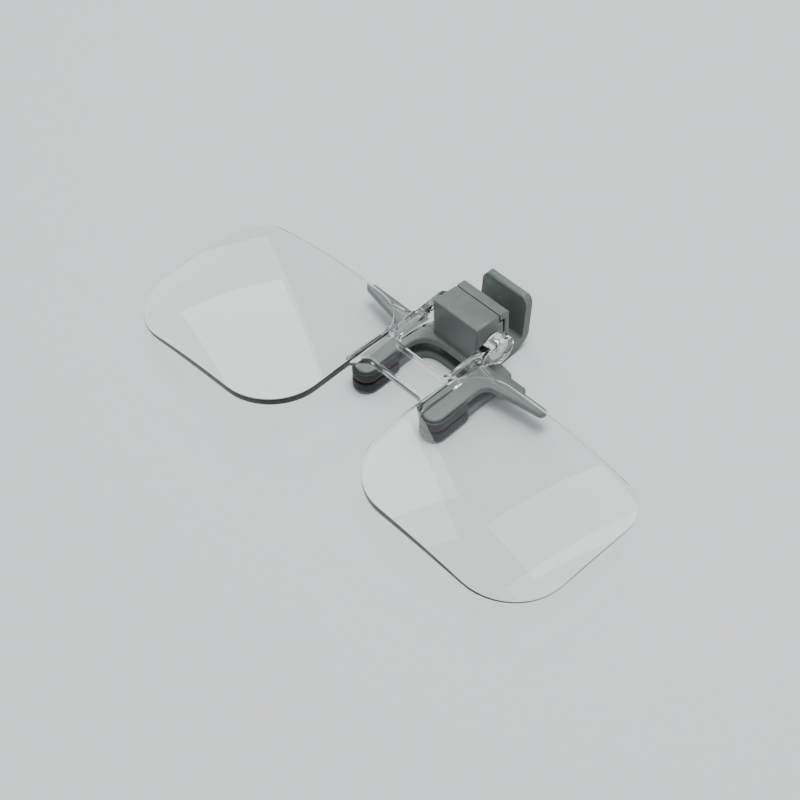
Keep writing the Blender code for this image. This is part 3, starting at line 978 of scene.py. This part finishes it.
@dataclass
class Clip(SubAssembly):
    """The housing with the front jaw, its cap, and what is fixed inside them."""

    layout: Layout
    jaw: JawShape
    shoes: Shoes
    body: str = "clip"
    half: float = 5.9
    y: Point = (21.7, 30.9)
    bottom: float = -8.0
    top: Point = (3.6, 2.5)
    wall: float = 1.5
    roof: float = 1.9
    front_wall_back: float = 23.4
    rib_x: float = 2.2
    rib_half: float = 2.0
    seam_y: float = 28.25
    seam_gap: float = 0.07
    side_end: float = 29.4
    seam_step: float = 2.1
    cap_wall: float = 1.2
    cap_top: float = 1.5
    cap_bottom: float = -6.6
    jaw_z: float = -7.7
    wing_half: float = 24.2
    wing_y: Point = (20.4, 22.9)
    wing_fillet: float = 2.2
    edge: float = 0.42
    washer_hole: float = 0.9
    leaf_thickness: float = 0.25

    def top_at(self, y: float) -> float:
        """The height of the housing's top, which falls towards the tab."""
        front, back = self.y
        return self.top[0] + (self.top[1] - self.top[0]) * (y - front) / (back - front)

    def jaw_outline(self) -> list[Point]:
        """The front jaw from above: prongs around the arch, and a wing on each side."""
        low, high = self.wing_y
        fillet = self.wing_fillet
        return rounded(both_sides(self.jaw.prong() + [
            (self.jaw.outer, low - fillet, fillet), (self.wing_half, low, fillet / 2),
            (self.wing_half, high, fillet / 2)]))

    def build(self) -> None:
        """Make everything that stays still when the lenses or the lever move."""
        self.build_housing()
        self.build_cap()
        self.build_washers()
        self.build_click_leaf()
        self.build_pin()
        self.build_spring()
        self.shoes.build(self, "front", self.jaw_z, -1)

    def build_housing(self) -> None:
        """The hollow housing with its front jaw."""
        front, back = self.y
        step = self.top_at(self.side_end) - self.seam_step
        side_view = [(front, self.bottom), (self.side_end, self.bottom), (self.side_end, step),
                     (self.seam_y, step), (self.seam_y, self.top_at(self.seam_y)), (front, self.top[0])]
        housing = Bench.plate("clip_housing", side_view, -self.half, self.half, Axis.X)
        Bench.soften(housing, self.edge, 5, 50)
        jaw = Bench.plate("jaw", self.jaw_outline(), self.jaw_z, self.jaw_z + self.jaw.thickness, Axis.Z)
        Bench.soften(jaw, self.jaw.edge, 4, 50)
        Bench.cut(housing, jaw, Cut.JOIN)
        inside = self.half - self.wall
        past = 2.0
        hollow = Bench.plate("hollow", [
            (self.front_wall_back, self.bottom - past), (back + past, self.bottom - past),
            (back + past, self.top_at(self.seam_y) - self.roof),
            (self.front_wall_back, self.top[0] - self.roof)], -inside, inside, Axis.X)
        Bench.soften(hollow, 0.4, 3, 50)
        Bench.cut(housing, hollow, Cut.TAKE_AWAY)
        for x in (-self.rib_x, self.rib_x):
            rib = Bench.block("rib", (x - 0.3, self.front_wall_back - 0.3, -self.rib_half),
                              (x + 0.3, self.front_wall_back + 0.25, self.rib_half))
            Bench.cut(housing, rib, Cut.JOIN)
        for axis, radius in ((self.layout.flip_axis, AXLE_BORE), (self.layout.lever_axis, PIN_BORE)):
            bore = Bench.rod("bore", axis, radius, -self.half - past, self.half + past)
            Bench.cut(housing, bore, Cut.TAKE_AWAY)
        Bench.tidy(housing)
        self.finish(housing, Finish.PLASTIC, "clip_body")

    def build_cap(self) -> None:
        """The cap over the back of the housing."""
        back = self.y[1]
        seam = self.seam_y + self.seam_gap
        inner_y = back - self.cap_wall
        inner_z = self.top_at(back) - self.cap_top
        side_view = rounded([(seam, self.top_at(seam), 0), (seam, inner_z + 0.1, 0), (inner_y, inner_z, 0.6),
                             (inner_y, self.cap_bottom, 0), (back, self.cap_bottom, 0.5),
                             (back, self.top[1], 0.9)], 6)
        cap = Bench.plate("housing_cap", side_view, -self.half, self.half, Axis.X)
        Bench.soften(cap, 0.22, 4, 50)
        self.finish(cap, Finish.PLASTIC, "housing_cover")

    def build_washers(self) -> None:
        """The nylon friction washers between the arms and the housing."""
        axis = self.layout.flip_axis
        for hand in ("left", "right"):
            low, high = self.layout.box(f"friction_washer_{hand}")
            washer = Bench.rod(f"nylon_washer_{hand}", axis, (high.z - low.z) / 2,
                               low.x, high.x, 64, 0.08)
            hole = Bench.rod("hole", axis, self.washer_hole, low.x - 1, high.x + 1)
            Bench.cut(washer, hole, Cut.TAKE_AWAY)
            self.finish(washer, Finish.NYLON, f"friction_washer_{hand}")

    def build_click_leaf(self) -> None:
        """The bowed leaf that bears on the squared axle."""
        low, high = self.layout.box("detent_spring")
        middle = self.layout.flip_axis[1]
        thickness = self.leaf_thickness
        half = (high.z - low.z) / 2
        bow = high.y - low.y - thickness
        steps = 24
        outer = [(high.y - bow * (2 * step / steps - 1) ** 2, middle + half * (2 * step / steps - 1))
                 for step in range(steps + 1)]
        inner = [(y - thickness, z) for y, z in reversed(outer)]
        leaf = Bench.plate("click_leaf", outer + inner, low.x, high.x, Axis.X)
        Bench.soften(leaf, 0.05, 2, 60)
        self.finish(leaf, Finish.STEEL, "detent_spring")

    def build_pin(self) -> None:
        """The lever's pin, with rounded ends."""
        low, high = self.layout.box("lever_pin")
        pin = Bench.rod("pivot_pin", self.layout.lever_axis, (high.z - low.z) / 2, low.x, high.x, 40, 0.12)
        self.finish(pin, Finish.STEEL, "lever_pin")

    def build_spring(self) -> None:
        """The torsion spring: a wire wound round the pin, with legs to the housing and the lever."""
        axis_y, axis_z = self.layout.lever_axis
        wire, coil, half, turns = 0.25, 1.1, 1.75, 5
        leg_angle = math.radians(30)
        leg = 5.6
        sweep = math.tau * turns - leg_angle
        steps = 28 * turns
        wound = [Vector((-half + 2 * half * step / steps,
                         axis_y + coil * math.cos(-sweep * step / steps),
                         axis_z + coil * math.sin(-sweep * step / steps))) for step in range(steps + 1)]
        upper = [wound[0] + Vector((0, 0, leg * share)) for share in (1.0, 0.75, 0.5, 0.25, 0.08)]
        down = Vector((0, math.sin(leg_angle), -math.cos(leg_angle)))
        floor = self.jaw_z - 4.4 + self.jaw.thickness + wire + 0.05
        reach = (wound[-1].z - floor) / math.cos(leg_angle)
        lower = [wound[-1] + down * reach * share for share in (0.1, 0.3, 0.6, 1.0)]
        route = upper + wound + lower
        curve = bpy.data.curves.new("torsion_spring", "CURVE")
        curve.dimensions = "3D"
        curve.bevel_depth = wire
        curve.bevel_resolution = 3
        curve.use_fill_caps = True
        spline = curve.splines.new("POLY")
        spline.points.add(len(route) - 1)
        for knot, place in zip(spline.points, route):
            knot.co = (*place, 1)
        Bench.clear()
        spring = bpy.data.objects.new("torsion_spring", curve)
        bpy.context.scene.collection.objects.link(spring)
        Bench.take(spring)
        bpy.ops.object.convert(target="MESH")
        spring = bpy.context.object
        Bench.tidy(spring, 0.0005)
        self.finish(spring, Finish.STEEL, "lever_spring", angle=50)


@dataclass
class Lever(SubAssembly):
    """The squeeze lever: the rear jaw, the heel and the thumb tab in one moulding."""

    layout: Layout
    jaw: JawShape
    shoes: Shoes
    body: str = "lever"
    jaw_z: float = -12.1
    shoulder_half: float = 15.0
    shoulder_y: Point = (23.4, 26.8)
    shoulder_fillet: float = 2.2
    step_half: float = 10.1
    step_y: float = 27.65
    neck_half: float = 5.9
    tab_top: float = 1.5
    tab_y: float = 37.8
    tab_corner: float = 2.4
    heel: Point = (36.7, -10.3)
    heel_radius: float = 2.8
    heel_start: float = 30.0
    lug_x: Point = (2.6, 4.1)
    lug_radius: float = 1.5
    mark_radius: float = 0.9
    edge: float = 0.42

    def jaw_outline(self) -> list[Point]:
        """The rear jaw from above: prongs, shoulders, a step and the neck to the heel."""
        neck_end = self.heel_start - 0.2
        low, high = self.shoulder_y
        return rounded(both_sides(self.jaw.prong() + [
            (self.jaw.outer, low - self.shoulder_fillet, self.shoulder_fillet),
            (self.shoulder_half, low, 0.8), (self.shoulder_half, high, 0.8),
            (self.step_half, high, 0.4), (self.step_half, self.step_y, 0.4),
            (self.neck_half, self.step_y + 0.6, 0.8), (self.neck_half, neck_end, 0)]))

    def tab_side_view(self) -> list[Point]:
        """The thumb tab and heel from the side, bent up from the flat."""
        thickness = self.jaw.thickness
        heel_y, heel_z = self.heel
        low, high = self.jaw_z, self.jaw_z + thickness
        overlap, lip = 2.0, 0.7
        return rounded([
            (self.tab_y, self.tab_top, lip), (self.tab_y - thickness, self.tab_top, lip),
            (heel_y - thickness, heel_z + 0.8 * thickness, self.heel_radius - thickness),
            (self.heel_start - 0.2, high, 0), (self.heel_start - overlap, high, 0),
            (self.heel_start - overlap, low, 0), (self.heel_start, low, 0),
            (heel_y, heel_z, self.heel_radius)], 10)

    def tab(self) -> Piece:
        """The tab, its two top corners rounded from the front and its edges softened."""
        past = 1.0
        tab = Bench.plate("tab", self.tab_side_view(), -self.neck_half - past, self.neck_half + past, Axis.X)
        foot = self.jaw_z - 1
        half, corner = self.neck_half, self.tab_corner
        outline = rounded([(-half, foot, 0), (half, foot, 0),
                           (half, self.tab_top, corner), (-half, self.tab_top, corner)], 10)
        face = Bench.plate("face", outline, self.heel_start - 3, self.tab_y + past, Axis.Y)
        Bench.cut(tab, face, Cut.KEEP_COMMON)
        Bench.soften(tab, self.edge, 4, 50)
        return tab

    def build(self) -> None:
        """Make the lever and its shoes."""
        lever = Bench.plate("squeeze_lever", self.jaw_outline(), self.jaw_z,
                            self.jaw_z + self.jaw.thickness, Axis.Z)
        Bench.soften(lever, self.edge, 4, 50)
        Bench.cut(lever, self.tab(), Cut.JOIN)
        axis = self.layout.lever_axis
        foot = self.jaw_z + self.jaw.thickness / 2
        lug = arc(axis, self.lug_radius, 0, 180, 20)
        lug += [(axis[0] - self.lug_radius, foot), (axis[0] + self.lug_radius, foot)]
        right = Bench.plate("lug", lug, *self.lug_x, Axis.X)
        Bench.soften(right, 0.15, 2, 50)
        Bench.join_pair(lever, right)
        bore = Bench.rod("bore", axis, PIN_BORE, -self.neck_half, self.neck_half)
        Bench.cut(lever, bore, Cut.TAKE_AWAY)
        self.cut_details(lever)
        Bench.tidy(lever)
        self.finish(lever, Finish.PLASTIC, "lever")
        self.shoes.build(self, "rear", self.jaw_z, 1)

    def cut_details(self, lever: Piece) -> None:
        """The spring's groove, and the shallow ejector marks on the back."""
        floor = self.jaw_z + self.jaw.thickness
        groove = Bench.block("groove", (1.05, 28.4, floor - 1.2), (2.25, 32.0, floor + 1))
        Bench.cut(lever, groove, Cut.TAKE_AWAY)
        middle = self.jaw.middle
        for x, y in ((-middle, 11.0), (middle, 11.0), (-6.5, 24.3), (6.5, 24.3)):
            Bench.clear()
            bpy.ops.mesh.primitive_cylinder_add(vertices=32, radius=self.mark_radius, depth=0.2,
                                                location=(x, y, self.jaw_z))
            mark = bpy.context.object
            bpy.ops.object.transform_apply(location=True, rotation=True, scale=True)
            Bench.cut(lever, mark, Cut.TAKE_AWAY)


# ------------------------------ the studio

@dataclass(frozen=True)
class Softbox:
    """A rectangular light, in metres and watts, that faces the middle of the table."""

    name: str
    azimuth: float
    elevation: float
    away: float
    size: Point
    watts: float
    mirrored: bool = True


@dataclass
class Studio:
    """The pale table, the soft lights and the camera."""

    layout: Layout
    azimuth: float = 46.5945
    elevation: float = 49.6930
    roll: float = -1.5588
    distance: float = 391.373
    target: tuple[float, float, float] = (5.603, 1.364, 0.0)
    lens: float = 93.54
    floor_half: float = 3.0
    room_colour: Colour = (0.93, 0.95, 1.0, 1.0)
    room_strength: float = 0.5
    softboxes: tuple[Softbox, ...] = (
        Softbox("overhead_softbox", 120.0, 84.0, 1.0, (0.42, 0.42), 12.0, mirrored=False),
        Softbox("left_softbox", -115.0, 50.0, 0.9, (0.30, 0.58), 2.1),
        Softbox("back_softbox", 174.0, 58.0, 0.9, (0.26, 0.52), 1.7),
        Softbox("front_fill", 0.0, 25.0, 1.4, (0.7, 0.7), 0.8))

    @staticmethod
    def direction(azimuth: float, elevation: float) -> Vector:
        """The way to something seen at an azimuth and elevation in degrees; azimuth 0 is towards -Y."""
        a, e = math.radians(azimuth), math.radians(elevation)
        return Vector((math.sin(a) * math.cos(e), -math.cos(a) * math.cos(e), math.sin(e)))

    def build(self) -> None:
        """Set up the whole studio."""
        self.build_camera()
        self.build_floor()
        self.build_lights()
        self.build_world()

    def build_camera(self) -> None:
        """The camera, rolled a little about its line of sight."""
        back = self.direction(self.azimuth, self.elevation)
        place = self.layout.datum + (Vector(self.target) + back * self.distance) * MM
        right = (-back).cross(Vector((0, 0, 1))).normalized()
        up = right.cross(-back)
        turn = math.radians(self.roll)
        turned_right = right * math.cos(turn) + up * math.sin(turn)
        turned_up = up * math.cos(turn) - right * math.sin(turn)
        data = bpy.data.cameras.new("camera")
        data.lens = self.lens
        data.sensor_width = 36
        data.clip_start = 0.01
        data.clip_end = 20
        camera = bpy.data.objects.new("camera", data)
        bpy.context.scene.collection.objects.link(camera)
        camera.matrix_world = (Matrix.Translation(place)
                               @ Matrix((turned_right, turned_up, back)).transposed().to_4x4())
        bpy.context.scene.camera = camera

    def build_floor(self) -> None:
        """The table top, just under the lever's back."""
        Bench.clear()
        bpy.ops.mesh.primitive_plane_add(size=2 * self.floor_half, location=(0, 0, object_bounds()[0].z))
        table = bpy.context.object
        table.name = "table"
        table.data.materials.append(Finish.FLOOR.material())
        table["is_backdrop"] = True

    def build_lights(self) -> None:
        """The overhead light, two softboxes behind, which the lenses mirror, and a weak fill in front."""
        for box in self.softboxes:
            data = bpy.data.lights.new(box.name, "AREA")
            data.shape = "RECTANGLE"
            data.size, data.size_y = box.size
            data.energy = box.watts
            light = bpy.data.objects.new(box.name, data)
            bpy.context.scene.collection.objects.link(light)
            way = self.direction(box.azimuth, box.elevation)
            light.location = way * box.away
            light.rotation_mode = "QUATERNION"
            light.rotation_quaternion = way.to_track_quat("Z", "Y")
            light.visible_glossy = box.mirrored

    def build_world(self) -> None:
        """The pale room around the table."""
        world = bpy.data.worlds.new("room")
        world.use_nodes = True
        background = world.node_tree.nodes["Background"]
        background.inputs["Color"].default_value = self.room_colour
        background.inputs["Strength"].default_value = self.room_strength
        bpy.context.scene.world = world


def corners(box: tuple[Vector, Vector]) -> list[list[float]]:
    """A box's two corners as plain lists of numbers."""
    return [[float(number) for number in corner] for corner in box]


def main() -> None:
    """Build the pieces in order, then the studio."""
    logging.basicConfig(level=logging.INFO, format="%(name)s %(message)s")
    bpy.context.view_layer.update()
    Bench.clear()
    layout = Layout(frame)
    jaw = JawShape()
    shoes = Shoes(jaw)
    for assembly in (LensPair(layout), Clip(layout, jaw, shoes), Lever(layout, jaw, shoes)):
        assembly.build()
    Studio(layout).build()


if __name__ == "__main__":
    main()
